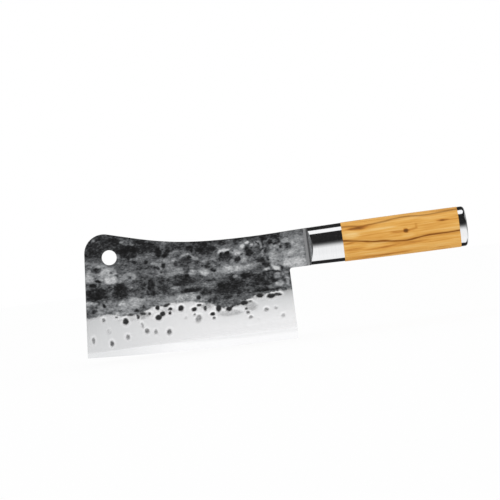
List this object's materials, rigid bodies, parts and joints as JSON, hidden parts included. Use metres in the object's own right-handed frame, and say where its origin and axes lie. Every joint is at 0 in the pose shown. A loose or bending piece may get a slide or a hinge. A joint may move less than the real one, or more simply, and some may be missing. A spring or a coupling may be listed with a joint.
{
  "type": "kitchen cleaver",
  "caption": "Forged kitchen cleaver with a tall scaled blade, ground cutting faces, a hang hole, a polished bolster and end cap, and an oval wooden handle on a hidden tang.",
  "frame": {"origin": "centre of the hang hole, in the middle of the blade's thickness", "axes": "+X along the handle from the front of the blade to the butt, +Z from the edge to the spine, +Y across the blade along the hang hole"},
  "size_m": [0.3147, 0.0228, 0.1026],
  "materials": {
    "forged_steel": "dark forge scale above, satin ground faces below",
    "polished_steel": "polished",
    "olive_wood": "oiled satin",
    "plain_steel": "bright zinc plated",
    "bedding_resin": "cast resin"
  },
  "bodies": {
    "root": {"blade": "forged_steel", "bolster": "polished_steel", "handle_wood": "olive_wood", "end_cap": "polished_steel", "tang_stud": "plain_steel", "stud_rivet": "plain_steel", "bolster_dowels": "plain_steel", "resin_bedding": "bedding_resin", "butt_washer": "plain_steel", "butt_nut": "plain_steel", "cap_dowels": "plain_steel"}
  },
  "joints": []
}
